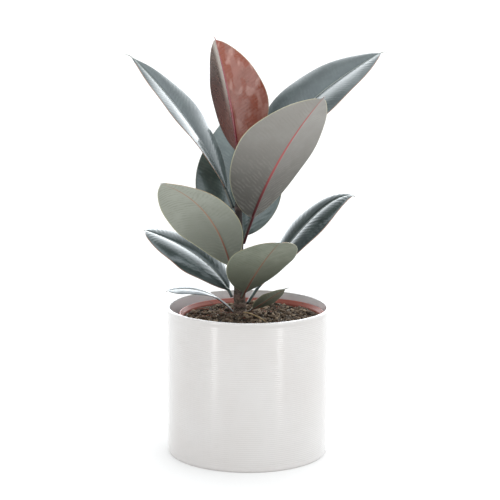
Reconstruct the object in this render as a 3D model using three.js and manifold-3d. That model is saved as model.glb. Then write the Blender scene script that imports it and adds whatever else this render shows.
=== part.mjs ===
// Potted rubber plant, Ficus elastica: a young plant with eleven leaves, in its nursery pot of peat,
// standing in a white cylindrical planter.
// Millimetres, +Z up. The origin is the centre of the planter's flat underside, and -Y is the front.
import * as THREE from 'three';
import { mergeVertices } from 'three/addons/utils/BufferGeometryUtils.js';
import Module from 'manifold-3d';

const wasm = await Module();
wasm.setup();

// ---------------------------------------------------------------- driving dimensions

const TOUCH_GAP = 0.3; // left between pieces that rest on, stand in or grow from one another

const PLANTER = {
  height: 127,
  lipRadius: 70,
  lipDepth: 2.5, // height of the slightly flared lip
  wall: 3,
  bodyInset: 0.8, // how far the body stands in from the lip
  taper: 0.6, // further inset at the foot
  floor: 6,
  footFillet: 4,
  rimRound: 1.2,
  segments: 48,
};

const NURSERY_POT = {
  rimDrop: 6, // from the planter's rim down to the pot's rim
  offset: 3.7, // the pot stands this far off the planter's axis, towards +X
  sideClearance: 0.8, // to the planter's wall on that side
  wall: 1.3,
  rimBand: 8, // height of the turned-out band
  rimOverhang: 2.4,
  baseInset: 15, // how far the wall tapers in from the band to the floor
  floor: 1.8,
  holeRadius: 4,
  holeRing: 26,
  holeCount: 6,
  segments: 36,
};

const PEAT = {
  belowRim: 4, // the surface lies this far below the pot's rim
  mound: 2.5, // extra height round the stem
  moundSpread: 20,
  ripple: 0.5,
  segments: 36,
  rings: 5,
};

const STEM = {
  x: -6,
  y: 0,
  rooted: 14, // depth of the buried foot
  sides: 12,
  nodeBulge: 0.5,
  nodeSpread: 2.6,
  // [height above the peat, sideways lean along X, radius], from the foot to the apex
  course: [
    [0, 0, 5.2],
    [10, -0.8, 4.9],
    [28, -1.8, 4.3],
    [53, -1.6, 3.7],
    [82, -2.4, 3.1],
    [112, -2.8, 2.6],
    [140, 0, 2.2],
  ],
};

const BUD = { length: 13, radius: 1.9, sides: 10 };

const BLADE = {
  thickness: 0.9,
  stations: 12,
  petioleStations: 3,
  keel: 1.0, // how far the midrib stands out underneath, at the leaf's base
  keelHalfWidth: 1.3,
  dripRadius: 0.45, // of the thread that ends the tip
  dripStations: 3,
};

// One row per leaf. node: height on the stem above the peat. azimuth: heading round the stem, from +X
// towards +Y. rise and reach: elevation and length of the straight line from the stem's centre to the
// blade's tip. arch and bow: how far the midrib stands above and to the left of that line, and archAt
// how far along it. petiole: stalk length. widest: where along the blade it is widest. base and point:
// how blunt its two ends are, smaller being blunter. fold and margin: how steeply each half rises at the
// midrib and at the edge. roll and twist: turn about the midrib at the base, and how much is added
// towards the tip. drip and curl: length of the tip's thread and how far it turns down.
const LEAVES = [
  { name: 'leaf_upper_left', node: 94, azimuth: 155, rise: 50.5, reach: 161, arch: 8, bow: -5, archAt: 0.45,
    petiole: 18, petioleRadius: 1.6, width: 52, widest: 0.45, base: 0.7, point: 0.95,
    fold: 20, margin: -5, roll: 14, twist: -28, drip: 13, curl: 95 },
  { name: 'leaf_youngest', node: 138, azimuth: -135, rise: 72.7, reach: 103, arch: 3, bow: 0, archAt: 0.5,
    petiole: 5, petioleRadius: 1.3, width: 63, widest: 0.42, base: 0.75, point: 0.68,
    fold: 28, margin: 28, roll: 13, twist: 0, drip: 4, curl: 40 },
  { name: 'leaf_upper_right', node: 106, azimuth: 26, rise: 40.5, reach: 179, arch: 15, bow: 2, archAt: 0.38,
    petiole: 22, petioleRadius: 1.7, width: 66, widest: 0.5, base: 0.7, point: 0.75,
    fold: 22, margin: -7, roll: 16, twist: 0, drip: 8, curl: 50 },
  { name: 'leaf_front_right', node: 65, azimuth: -49, rise: 52, reach: 163, arch: 9, bow: 0, archAt: 0.5,
    petiole: 26, petioleRadius: 1.7, width: 77, widest: 0.48, base: 0.6, point: 0.75,
    fold: 22, margin: 12, roll: -12, twist: 0, drip: 3, curl: 20 },
  { name: 'leaf_back', node: 66, azimuth: 91, rise: 56, reach: 127, arch: -3, bow: 0, archAt: 0.5,
    petiole: 3, petioleRadius: 1.6, width: 77, widest: 0.42, base: 0.6, point: 0.7,
    fold: 24, margin: -12, roll: 0, twist: 0, drip: 6, curl: 40 },
  { name: 'leaf_front_left', node: 32, azimuth: -132, rise: 45, reach: 130, arch: 15, bow: 4, archAt: 0.55,
    petiole: 15, petioleRadius: 1.5, width: 62, widest: 0.55, base: 0.65, point: 0.52,
    fold: -5, margin: -30, roll: 24, twist: 0, drip: 3, curl: 60 },
  { name: 'leaf_lower_left', node: 17, azimuth: 169, rise: 33.4, reach: 99.1, arch: 10, bow: -2, archAt: 0.4,
    petiole: 7, petioleRadius: 1.4, width: 64, widest: 0.56, base: 0.6, point: 0.5,
    fold: 22, margin: -30, roll: -24, twist: 19, drip: 2, curl: 30 },
  { name: 'leaf_lower_front', node: 19, azimuth: -69, rise: 34, reach: 107, arch: 3, bow: 0, archAt: 0.5,
    petiole: 8, petioleRadius: 1.4, width: 57, widest: 0.55, base: 0.5, point: 0.5,
    fold: 12, margin: 2, roll: -2, twist: 0, drip: 3, curl: 60 },
  { name: 'leaf_right', node: 11, azimuth: 23, rise: 39.9, reach: 138, arch: 11, bow: 4, archAt: 0.85,
    petiole: 10, petioleRadius: 1.4, width: 44, widest: 0.6, base: 0.9, point: 0.66,
    fold: 22, margin: -34, roll: 9, twist: 2, drip: 3, curl: 40 },
  { name: 'leaf_small_left', node: 4.5, azimuth: -173, rise: 17.5, reach: 65, arch: 9, bow: 3, archAt: 0.5,
    petiole: 18, petioleRadius: 0.9, width: 23, widest: 0.62, base: 0.75, point: 0.65,
    fold: 4, margin: -8, roll: -9, twist: 0, drip: 3, curl: 50 },
  { name: 'leaf_small_right', node: 4, azimuth: -38, rise: 29.5, reach: 54, arch: 0.5, bow: 0, archAt: 0.5,
    petiole: 9, petioleRadius: 0.9, width: 16, widest: 0.45, base: 0.75, point: 0.75,
    fold: 5, margin: -5, roll: -30, twist: 0, drip: 5, curl: 30 },
];

const LOOKS = {
  planter: { color: 0xe9e7e4, roughness: 0.35 },
  nursery_pot: { color: 0x8e3b2c, roughness: 0.5 },
  root_ball: { color: 0x4a3d33, roughness: 0.95 },
  stem: { color: 0x6b5a49, roughness: 0.85 },
  terminal_bud: { color: 0x8a3a34, roughness: 0.5 },
  leaf: { color: 0x3f4f4b, roughness: 0.3 },
  young_leaf: { color: 0x8d4b40, roughness: 0.3 },
};

// ---------------------------------------------------------------- places worked out from them

const UP = new THREE.Vector3(0, 0, 1);
const planterInnerRadius = PLANTER.lipRadius - PLANTER.wall;
const potFloorZ = PLANTER.floor + TOUCH_GAP;
const potRimZ = PLANTER.height - NURSERY_POT.rimDrop;
const potRimRadius = planterInnerRadius - NURSERY_POT.offset - NURSERY_POT.sideClearance;
const potWallRadius = potRimRadius - NURSERY_POT.rimOverhang;
const potBaseRadius = potWallRadius - NURSERY_POT.baseInset;
const potBandZ = potRimZ - NURSERY_POT.rimBand;
const peatZ = potRimZ - PEAT.belowRim;
const potInside = NURSERY_POT.wall + TOUCH_GAP;

// ---------------------------------------------------------------- helpers

const radians = THREE.MathUtils.degToRad;
const mix = THREE.MathUtils.lerp;

function material(look) {
  return new THREE.MeshStandardMaterial({ ...LOOKS[look], metalness: 0 });
}

function named(name, geometry, look) {
  const mesh = new THREE.Mesh(geometry, material(look));
  mesh.name = name;
  return mesh;
}

// Turns a closed outline of [radius, z] points about the Z axis.
function lathe(profile, segments) {
  const points = profile.map(([r, z]) => new THREE.Vector2(r, z));
  // LatheGeometry turns about Y, so the result is stood up along Z.
  return new THREE.LatheGeometry(points, segments).rotateX(Math.PI / 2);
}

// Quarter-circle points from one angle to another, for rounded profile corners.
function arc(r, z, radius, from, to, steps) {
  return Array.from({ length: steps + 1 }, (_, i) => {
    const angle = radians(mix(from, to, i / steps));
    return [r + radius * Math.cos(angle), z + radius * Math.sin(angle)];
  });
}

// Skins a row of rings, each a list of as many points, into one closed body with its faces out.
function loft(rings) {
  const count = rings[0].length;
  const points = rings.flat();
  const indices = [];
  for (let ring = 0; ring + 1 < rings.length; ring += 1) {
    for (let i = 0; i < count; i += 1) {
      const here = ring * count + i;
      const next = ring * count + ((i + 1) % count);
      indices.push(here, next, next + count, here, next + count, here + count);
    }
  }
  for (const ring of [0, rings.length - 1]) {
    const centre = points.length;
    const middle = new THREE.Vector3();
    rings[ring].forEach((point) => middle.addScaledVector(point, 1 / count));
    points.push(middle);
    for (let i = 0; i < count; i += 1) {
      const here = ring * count + i;
      const next = ring * count + ((i + 1) % count);
      indices.push(centre, ...(ring === 0 ? [next, here] : [here, next]));
    }
  }
  const geometry = new THREE.BufferGeometry().setFromPoints(points);
  geometry.setIndex(facingOut(points, indices));
  geometry.computeVertexNormals();
  return geometry;
}

// The same triangles, turned round if they enclose a negative volume.
function facingOut(points, indices) {
  let volume = 0;
  for (let i = 0; i < indices.length; i += 3) {
    const [a, b, c] = [points[indices[i]], points[indices[i + 1]], points[indices[i + 2]]];
    volume += a.dot(new THREE.Vector3().crossVectors(b, c));
  }
  return volume < 0 ? indices.slice().reverse() : indices;
}

function toSolid(geometry) {
  const bare = geometry.clone();
  bare.deleteAttribute('normal');
  bare.deleteAttribute('uv');
  const merged = mergeVertices(bare, 1e-4);
  const vertProperties = new Float32Array(merged.attributes.position.array);
  const triVerts = new Uint32Array(merged.index.array);
  return new wasm.Manifold(new wasm.Mesh({ numProp: 3, vertProperties, triVerts }));
}

function fromSolid(solid) {
  const { vertProperties, triVerts } = solid.getMesh();
  const geometry = new THREE.BufferGeometry();
  geometry.setAttribute('position', new THREE.Float32BufferAttribute(vertProperties, 3));
  geometry.setIndex(new THREE.Uint32BufferAttribute(triVerts, 1));
  geometry.computeVertexNormals();
  return geometry;
}

function uprightCylinder(radius, low, high, x, y, segments) {
  const geometry = new THREE.CylinderGeometry(radius, radius, high - low, segments);
  return geometry.rotateX(Math.PI / 2).translate(x, y, (low + high) / 2);
}

// ---------------------------------------------------------------- planter

// A thin-walled cylinder with a flat underside, a rounded foot and a slightly proud lip.
function planterGeometry() {
  const { height, lipRadius, lipDepth, wall, bodyInset, taper, floor, footFillet, rimRound } = PLANTER;
  const bodyRadius = lipRadius - bodyInset;
  const footRadius = bodyRadius - taper;
  const innerFoot = footRadius - wall;
  const profile = [
    [0, 0],
    ...arc(footRadius - footFillet, footFillet, footFillet, -90, 0, 4),
    [bodyRadius, height - 2 * lipDepth],
    [lipRadius, height - lipDepth],
    ...arc(lipRadius - rimRound, height - rimRound, rimRound, 0, 90, 3),
    ...arc(planterInnerRadius + rimRound, height - rimRound, rimRound, 90, 180, 3),
    [planterInnerRadius, height - lipDepth],
    [innerFoot, floor + footFillet],
    [innerFoot - footFillet, floor],
    [0, floor],
  ];
  return lathe(profile, PLANTER.segments);
}

// ---------------------------------------------------------------- nursery pot

// The pot's outer radius at a height, following its taper below the turned-out band.
function potRadiusAt(z) {
  return mix(potBaseRadius, potWallRadius, (z - potFloorZ) / (potBandZ - potFloorZ));
}

function nurseryPotGeometry() {
  const { wall, floor, offset, rimOverhang, holeRadius, holeRing, holeCount, segments } = NURSERY_POT;
  const innerFloorZ = potFloorZ + floor;
  const profile = [
    [0, potFloorZ],
    [potBaseRadius, potFloorZ],
    [potWallRadius, potBandZ],
    [potRimRadius, potBandZ],
    [potRimRadius, potRimZ],
    [potRimRadius - wall, potRimZ],
    [potWallRadius - wall, potRimZ - rimOverhang],
    [potWallRadius - wall, potBandZ],
    [potRadiusAt(innerFloorZ) - wall, innerFloorZ],
    [0, innerFloorZ],
  ];
  let solid = toSolid(lathe(profile, segments));
  for (let i = 0; i < holeCount; i += 1) {
    const angle = (i * 2 * Math.PI) / holeCount;
    const [x, y] = [holeRing * Math.cos(angle), holeRing * Math.sin(angle)];
    const drill = uprightCylinder(holeRadius, potFloorZ - 1, innerFloorZ + 1, x, y, 16);
    solid = solid.subtract(toSolid(drill));
  }
  return fromSolid(solid).translate(offset, 0, 0);
}

// ---------------------------------------------------------------- peat

// Height of the peat's surface: a low mound round the stem, on gentle ripples.
function peatHeight(x, y) {
  const { mound, moundSpread, ripple } = PEAT;
  const away = Math.hypot(x - STEM.x, y - STEM.y) / moundSpread;
  const waves = Math.sin(x * 0.19 + 1) * Math.cos(y * 0.23) + Math.sin(x * 0.11 - y * 0.13);
  return peatZ + mound * Math.exp(-away * away) + ripple * waves;
}

// The root ball fills the pot, and has a socket that holds the stem's foot.
function rootBallGeometry() {
  const { offset, floor } = NURSERY_POT;
  const { segments, rings } = PEAT;
  const lowZ = potFloorZ + floor + TOUCH_GAP;
  const topRadius = potWallRadius - potInside;
  const ringAt = (radius, heightAt) =>
    Array.from({ length: segments }, (_, i) => {
      const angle = (i * 2 * Math.PI) / segments;
      const [x, y] = [offset + radius * Math.cos(angle), radius * Math.sin(angle)];
      return new THREE.Vector3(x, y, heightAt(x, y));
    });
  const skin = [
    ringAt(potRadiusAt(lowZ) - potInside, () => lowZ),
    ringAt(topRadius, () => potBandZ),
  ];
  for (let ring = rings; ring > 0; ring -= 1) {
    skin.push(ringAt((topRadius * ring) / rings, peatHeight));
  }
  const socketRadius = STEM.course[0][2] + STEM.nodeBulge + TOUCH_GAP;
  const socketLow = peatZ - STEM.rooted - TOUCH_GAP;
  const socketTop = peatZ + PEAT.mound * 2;
  const socket = uprightCylinder(socketRadius, socketLow, socketTop, STEM.x, STEM.y, 24);
  return fromSolid(toSolid(loft(skin)).subtract(toSolid(socket)));
}

// ---------------------------------------------------------------- stem and bud

// Centre and radius of the stem at a height above the peat, without the swelling at its nodes.
function stemAt(height) {
  const { course } = STEM;
  const above = course.findIndex(([h]) => h >= height);
  const last = above === -1 ? course.length - 1 : Math.max(above, 1);
  const [h0, lean0, r0] = course[last - 1];
  const [h1, lean1, r1] = course[last];
  const along = THREE.MathUtils.clamp((height - h0) / (h1 - h0), 0, 1);
  const centre = new THREE.Vector3(STEM.x + mix(lean0, lean1, along), STEM.y, peatZ + height);
  return { centre, radius: mix(r0, r1, along) };
}

// Swelling of the stem just below each leaf's base.
function nodeSwelling(height) {
  return LEAVES.reduce((most, { node }) => {
    const away = (height - node) / STEM.nodeSpread;
    return Math.max(most, STEM.nodeBulge * Math.exp(-away * away));
  }, 0);
}

function stemRing(height, radius) {
  const { centre } = stemAt(height);
  return Array.from({ length: STEM.sides }, (_, i) => {
    const angle = (i * 2 * Math.PI) / STEM.sides;
    return new THREE.Vector3(radius * Math.cos(angle), radius * Math.sin(angle), 0).add(centre);
  });
}

function stemGeometry() {
  const { course, rooted } = STEM;
  const top = course[course.length - 1][0];
  const nodes = LEAVES.flatMap(({ node }) => [node - STEM.nodeSpread, node, node + STEM.nodeSpread]);
  const heights = [...course.map(([h]) => h), ...nodes].filter((h) => h >= 0 && h <= top);
  heights.sort((a, b) => a - b);
  const spaced = heights.filter((h, i) => i === 0 || h - heights[i - 1] > 1);
  const foot = -rooted;
  const rings = [foot, 0].map((h) => stemRing(0, course[0][2]).map((p) => p.clone().setZ(peatZ + h)));
  spaced
    .filter((h) => h > 0)
    .forEach((h) => rings.push(stemRing(h, stemAt(h).radius + nodeSwelling(h))));
  return loft(rings);
}

// A pointed sheath standing on the stem's tip.
function budGeometry() {
  const { length, radius, sides } = BUD;
  const profile = [
    [0, 0],
    [radius * 0.75, 0],
    [radius, length * 0.25],
    [radius * 0.7, length * 0.6],
    [radius * 0.25, length * 0.93],
    [0, length],
  ];
  const top = stemAt(STEM.course[STEM.course.length - 1][0]).centre;
  return lathe(profile, sides).translate(top.x, top.y, top.z + TOUCH_GAP);
}

// ---------------------------------------------------------------- leaves

// Half the blade's width at a place from 0 at its base to 1 at its tip.
function halfWidth(leaf, along) {
  const skew = Math.log(0.5) / Math.log(leaf.widest);
  const blunt = along < leaf.widest ? leaf.base : leaf.point;
  const swell = Math.max(0, Math.sin(Math.PI * along ** skew));
  return (leaf.width / 2) * swell ** blunt;
}

// The midrib from the stem to the blade's tip, with the directions that the blade is built on.
function midribOf(leaf) {
  const azimuth = radians(leaf.azimuth);
  const rise = radians(leaf.rise);
  const out = new THREE.Vector3(Math.cos(azimuth), Math.sin(azimuth), 0);
  const left = new THREE.Vector3(-Math.sin(azimuth), Math.cos(azimuth), 0);
  const along = out.clone().multiplyScalar(Math.cos(rise)).addScaledVector(UP, Math.sin(rise));
  const above = out.clone().multiplyScalar(-Math.sin(rise)).addScaledVector(UP, Math.cos(rise));
  const { centre, radius } = stemAt(leaf.node);
  const skin = radius + STEM.nodeBulge + TOUCH_GAP;
  const start = centre.clone().addScaledVector(out, skin + leaf.petioleRadius);
  const tip = centre.clone().addScaledVector(along, leaf.reach);
  const control = start.clone().lerp(tip, leaf.archAt);
  control.addScaledVector(above, 2 * leaf.arch).addScaledVector(left, 2 * leaf.bow);
  // The more steeply the stalk starts, the further in its round end reaches.
  const steep = Math.abs(control.clone().sub(start).normalize().z);
  start.copy(centre).addScaledVector(out, skin + leaf.petioleRadius * steep);
  return { curve: new THREE.QuadraticBezierCurve3(start, control, tip), left };
}

// Places across a section, from one edge (1) to the other (-1), with the midrib's flanks at its middle.
function acrossBlade(half, blade) {
  const flank = Math.min(BLADE.keelHalfWidth / half, 0.2);
  const flat = [1, 0.72, 0.4, flank, 0, -flank, -0.4, -0.72, -1];
  return flat.map((q, i) => mix(Math.cos((i * Math.PI) / (flat.length - 1)), q, blade));
}

// One closed section: over the top from edge to edge and back underneath. blade goes from 0 on the round
// petiole to 1 on the flat blade.
function leafSection({ centre, side, normal, half, fold, margin, blade, round, keel }) {
  const upper = [];
  const lower = [];
  for (const q of acrossBlade(half, blade)) {
    const reach = Math.abs(q);
    const [from, turn] = [radians(fold) * blade, radians(margin - fold) * blade];
    const angle = from + turn * reach;
    const flatTurn = Math.abs(turn) < 1e-4;
    const out = flatTurn ? reach * Math.cos(from) : (Math.sin(angle) - Math.sin(from)) / turn;
    const lift = flatTurn ? reach * Math.sin(from) : (Math.cos(from) - Math.cos(angle)) / turn;
    const middle = centre.clone();
    middle.addScaledVector(side, Math.sign(q) * out * half).addScaledVector(normal, lift * half);
    const local = normal.clone().multiplyScalar(Math.cos(angle));
    local.addScaledVector(side, -Math.sign(q) * Math.sin(angle));
    const bulge = Math.sqrt(Math.max(0, 1 - q * q));
    const skin = mix(round * bulge, (BLADE.thickness / 2) * Math.sqrt(bulge), blade);
    const flank = reach < 0.21 ? (reach === 0 ? 1 : 0.5) : 0;
    upper.push(middle.clone().addScaledVector(local, skin));
    lower.push(middle.clone().addScaledVector(local, -skin - keel * blade * flank));
  }
  return [...upper, ...lower.slice(1, -1).reverse()];
}

function leafGeometry(leaf) {
  const { curve, left } = midribOf(leaf);
  const total = curve.getLength();
  const stalk = leaf.petiole / total;
  const places = [];
  for (let i = 0; i < BLADE.petioleStations; i += 1) {
    places.push((stalk * i) / BLADE.petioleStations);
  }
  for (let i = 0; i <= BLADE.stations; i += 1) {
    places.push(mix(stalk, 1, 0.5 - 0.5 * Math.cos((Math.PI * i) / BLADE.stations)));
  }
  const frameAt = (place, blade) => {
    const ahead = curve.getTangentAt(place);
    const level = left.clone().addScaledVector(ahead, -left.dot(ahead)).normalize();
    const square = new THREE.Vector3().crossVectors(ahead, level);
    const roll = radians(leaf.roll + leaf.twist * blade);
    const side = level.clone().multiplyScalar(Math.cos(roll)).addScaledVector(square, Math.sin(roll));
    const normal = square.clone().multiplyScalar(Math.cos(roll)).addScaledVector(level, -Math.sin(roll));
    return { ahead, side, normal };
  };
  const rings = places.map((place) => {
    const along = Math.max(0, (place - stalk) / (1 - stalk));
    const { side, normal } = frameAt(place, along);
    const stalkRadius = mix(leaf.petioleRadius, BLADE.dripRadius, along);
    const wide = halfWidth(leaf, along);
    const half = Math.hypot(wide, stalkRadius);
    const blade = THREE.MathUtils.smoothstep(wide, 0, 4 * leaf.petioleRadius);
    const keel = BLADE.keel * (1 - along);
    const centre = curve.getPointAt(place);
    return leafSection({ centre, side, normal, half, fold: leaf.fold, margin: leaf.margin, blade,
      round: stalkRadius, keel });
  });
  // The drip tip: a thread that runs on from the blade and turns down.
  const { ahead, side, normal } = frameAt(1, 1);
  const centre = curve.getPointAt(1);
  const step = leaf.drip / BLADE.dripStations;
  for (let i = 1; i <= BLADE.dripStations; i += 1) {
    const turn = -radians((leaf.curl * (i - 0.5)) / BLADE.dripStations);
    centre.addScaledVector(ahead.clone().applyAxisAngle(side, -turn), step);
    const round = BLADE.dripRadius * (1 - (0.5 * i) / BLADE.dripStations);
    rings.push(leafSection({ centre: centre.clone(), side, normal, half: round, fold: 0, margin: 0,
      blade: 0, round, keel: 0 }));
  }
  return loft(rings);
}

// ---------------------------------------------------------------- the assembly

const group = new THREE.Group();
group.add(named('planter', planterGeometry(), 'planter'));
group.add(named('nursery_pot', nurseryPotGeometry(), 'nursery_pot'));
group.add(named('root_ball', rootBallGeometry(), 'root_ball'));
group.add(named('stem', stemGeometry(), 'stem'));
group.add(named('terminal_bud', budGeometry(), 'terminal_bud'));
for (const leaf of LEAVES) {
  group.add(named(leaf.name, leafGeometry(leaf), leaf.name === 'leaf_youngest' ? 'young_leaf' : 'leaf'));
}

export default group;
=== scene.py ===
"""Looks of the potted rubber plant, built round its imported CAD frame.

Blender works in metres. The sizes of the plant and its pots are in millimetres, and mesh_piece turns them
into metres. Lights and the camera are in metres.
"""
from math import atan2, cos, exp, hypot, log, pi, radians, sin, sqrt

import bpy
import numpy as np
from mathutils import Matrix, Vector, noise


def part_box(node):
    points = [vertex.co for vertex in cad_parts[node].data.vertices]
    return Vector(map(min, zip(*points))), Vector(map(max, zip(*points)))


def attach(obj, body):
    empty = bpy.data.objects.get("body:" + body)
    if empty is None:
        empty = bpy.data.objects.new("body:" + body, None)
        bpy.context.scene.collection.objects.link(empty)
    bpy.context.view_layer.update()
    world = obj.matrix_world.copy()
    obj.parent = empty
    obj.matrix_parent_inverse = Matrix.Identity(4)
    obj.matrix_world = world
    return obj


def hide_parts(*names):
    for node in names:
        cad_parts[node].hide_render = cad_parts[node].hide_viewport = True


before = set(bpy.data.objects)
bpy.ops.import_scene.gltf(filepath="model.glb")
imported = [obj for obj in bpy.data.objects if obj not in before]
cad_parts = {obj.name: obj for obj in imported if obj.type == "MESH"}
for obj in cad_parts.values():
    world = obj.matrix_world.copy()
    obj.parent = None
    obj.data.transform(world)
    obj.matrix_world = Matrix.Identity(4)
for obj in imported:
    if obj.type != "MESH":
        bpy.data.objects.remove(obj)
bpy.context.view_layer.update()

MM = 0.001
SEED = 11  # shifts the noise that the bark and the peat are shaped by
TOUCH_GAP = 0.3  # between two pieces that touch

# ---- sizes, in millimetres


def box_mm(node):
    """Lowest and highest corner of a CAD node, in millimetres."""
    return [np.array(corner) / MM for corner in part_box(node)]


PLANTER_TOP = box_mm("planter")[1]
POT_LOW, POT_HIGH = box_mm("nursery_pot")

PLANTER = dict(
    radius=PLANTER_TOP[0],
    height=PLANTER_TOP[2],
    wall=3.0,
    body_inset=0.8,
    taper=0.6,
    lip_depth=2.5,
    floor=6.0,
    foot_round=1.6,
    rib_pitch=1.7,
    rib_depth=0.13,
    segments=192,
)
POT = dict(
    x=(POT_LOW[0] + POT_HIGH[0]) / 2,
    radius=(POT_HIGH[0] - POT_LOW[0]) / 2,
    rim=POT_HIGH[2],
    foot=POT_LOW[2],
    wall=1.3,
    band=8.0,
    overhang=2.4,
    base_inset=15.0,
    floor=1.8,
    hole_ring=26.0,
    hole_radius=4.0,
    hole_count=6,
    segments=144,
)
POT["wall_radius"] = POT["radius"] - POT["overhang"]
POT["base_radius"] = POT["wall_radius"] - POT["base_inset"]
PEAT = dict(below_rim=4.0, headroom=1.0, sides=160, mound=2.5, mound_spread=20.0, ripple=0.5, lumps=1.1)
PEAT["level"] = POT["rim"] - PEAT["below_rim"]
PEAT["highest"] = POT["rim"] - PEAT["headroom"]
PEAT["radius"] = POT["wall_radius"] - POT["wall"] - TOUCH_GAP
CRUMB = dict(sink=0.35, flat=0.75, knobs=0.22)
STRAND_SIDES = 6

# course: height above the peat, lean along X and radius, from the stem's foot to its tip. The bark is
# lumpiest at the foot, and its lumps die away upwards at the rate that bark_reach gives.
STEM = dict(
    x=-6.0,
    rooted=14.0,
    node_bulge=0.5,
    node_spread=2.6,
    bark_reach=16.0,
    bark_coarse=1.2,
    bark_fine=0.35,
    skin_fine=0.12,
    ring_step=0.7,
    sides=40,
    course=[
        (0, 0, 5.2),
        (10, -0.8, 4.9),
        (28, -1.8, 4.3),
        (53, -1.6, 3.7),
        (82, -2.4, 3.1),
        (112, -2.8, 2.6),
        (140, 0, 2.2),
    ],
)
BUD = dict(length=13.0, radius=1.9, sides=24)

BLADE = dict(
    thickness=0.75,
    margin_thickness=0.5,
    margin_round=0.5,
    keel=1.0,
    keel_width=1.1,
    groove=0.35,
    groove_width=0.8,
    drip_radius=0.4,
    drip_taper=0.35,
    drip_rings=12,
    station=0.65,
    across=18,
    vein_pitch=3.4,
    vein_lean=0.55,
    rib_pitch=4.4,
    rib_lean=0.75,
    rib_relief=0.10,
)

# What a leaf has unless its row below says otherwise. The rows are those of the CAD source.
# node: height on the stem above the peat. azimuth: heading round the stem, in degrees.
# rise, reach: elevation and length of the chord from the stem's centre to the blade's tip.
# arch, bow, arch_at: how far the midrib stands above and to the left of the chord, and where.
# width, widest, base, point: of the blade, its widest place, and how blunt it is at either end.
# fold, margin: how steeply each half rises at the midrib and at the edge, in degrees.
# roll, twist: turn of the blade about its midrib, at its base and from there to its tip, in degrees.
# drip, curl: length of the drip tip and how far it bends down, in degrees.
# wave, ribbing: how far the margin undulates, and how strong the lateral ribs are.
USUAL = dict(bow=0, arch_at=0.5, base=0.75, point=0.75, twist=0, curl=40, wave=0.5, look="dark")


def leaf_row(name, **sizes):
    return dict(USUAL, name=name, **sizes)


LEAVES = [
    leaf_row("leaf_upper_left", node=94, azimuth=155, rise=50.5, reach=161, arch=8, bow=-5, arch_at=0.45,
             petiole=18, petiole_radius=1.6, width=52, widest=0.45, base=0.7, point=0.95,
             fold=20, margin=-5, roll=14, twist=-28, drip=13, curl=95, ribbing=1.0),
    leaf_row("leaf_youngest", node=138, azimuth=-135, rise=72.7, reach=103, arch=3,
             petiole=5, petiole_radius=1.3, width=63, widest=0.42, point=0.68,
             fold=28, margin=28, roll=13, drip=4, ribbing=0.3, look="young"),
    leaf_row("leaf_upper_right", node=106, azimuth=26, rise=40.5, reach=179, arch=15, bow=2, arch_at=0.38,
             petiole=22, petiole_radius=1.7, width=66, widest=0.5, base=0.7,
             fold=22, margin=-7, roll=16, drip=8, curl=50, wave=0.6, ribbing=0.7),
    leaf_row("leaf_front_right", node=65, azimuth=-49, rise=52, reach=163, arch=9,
             petiole=26, petiole_radius=1.7, width=77, widest=0.48, base=0.6,
             fold=22, margin=12, roll=-12, drip=3, curl=20, ribbing=0.5, look="grey"),
    leaf_row("leaf_back", node=66, azimuth=91, rise=56, reach=127, arch=-3,
             petiole=3, petiole_radius=1.6, width=77, widest=0.42, base=0.6, point=0.7,
             fold=24, margin=-12, roll=0, drip=6, ribbing=1.2, look="teal"),
    leaf_row("leaf_front_left", node=32, azimuth=-132, rise=45, reach=130, arch=15, bow=4, arch_at=0.55,
             petiole=15, petiole_radius=1.5, width=62, widest=0.55, base=0.65, point=0.52,
             fold=-5, margin=-30, roll=24, drip=3, curl=60, wave=0.4, ribbing=0.6, look="sage"),
    leaf_row("leaf_lower_left", node=17, azimuth=169, rise=33.4, reach=99.1, arch=10, bow=-2, arch_at=0.4,
             petiole=7, petiole_radius=1.4, width=64, widest=0.56, base=0.6, point=0.5,
             fold=22, margin=-30, roll=-24, twist=19, drip=2, curl=30, ribbing=1.6),
    leaf_row("leaf_lower_front", node=19, azimuth=-69, rise=34, reach=107, arch=3,
             petiole=8, petiole_radius=1.4, width=57, widest=0.55, base=0.5, point=0.5,
             fold=12, margin=2, roll=-2, drip=3, curl=60, wave=0.4, ribbing=0.6, look="olive"),
    leaf_row("leaf_right", node=11, azimuth=23, rise=39.9, reach=138, arch=11, bow=4, arch_at=0.85,
             petiole=10, petiole_radius=1.4, width=44, widest=0.6, base=0.9, point=0.66,
             fold=22, margin=-34, roll=9, twist=2, drip=3, wave=0.4, ribbing=1.6),
    leaf_row("leaf_small_left", node=4.5, azimuth=-173, rise=17.5, reach=65, arch=9, bow=3,
             petiole=18, petiole_radius=0.9, width=23, widest=0.62, point=0.65,
             fold=4, margin=-8, roll=-9, drip=3, curl=50, wave=0.2, ribbing=0.3, look="frosted"),
    leaf_row("leaf_small_right", node=4, azimuth=-38, rise=29.5, reach=54, arch=0.5,
             petiole=9, petiole_radius=0.9, width=16, widest=0.45,
             fold=5, margin=-5, roll=-30, drip=5, curl=30, wave=0.2, ribbing=0.3, look="olive"),
]

# ---- small helpers


def unit(vectors):
    return vectors / np.linalg.norm(vectors, axis=-1, keepdims=True)


def mix(a, b, t):
    return a + (b - a) * t


def smoothstep(x, low, high):
    """0 below low and 1 above high, with a smooth rise between them."""
    t = np.clip((x - low) / (high - low), 0, 1)
    return t * t * (3 - 2 * t)


def unit_circle(count):
    """X and Y of points evenly round a circle of radius 1."""
    angle = np.arange(count) * 2 * pi / count
    return np.cos(angle), np.sin(angle)


def level_ring(x, y, z):
    """Points of a ring at one height."""
    return np.stack([x, y, np.full(len(x), z)], -1)


def read_off(line, places, at):
    """Points of a line at some distances, from the distances of its own points."""
    return np.stack([np.interp(at, places, line[:, k]) for k in range(3)], -1)


def add_object(name, data):
    made = bpy.data.objects.new(name, data)
    bpy.context.scene.collection.objects.link(made)
    return made


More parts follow.
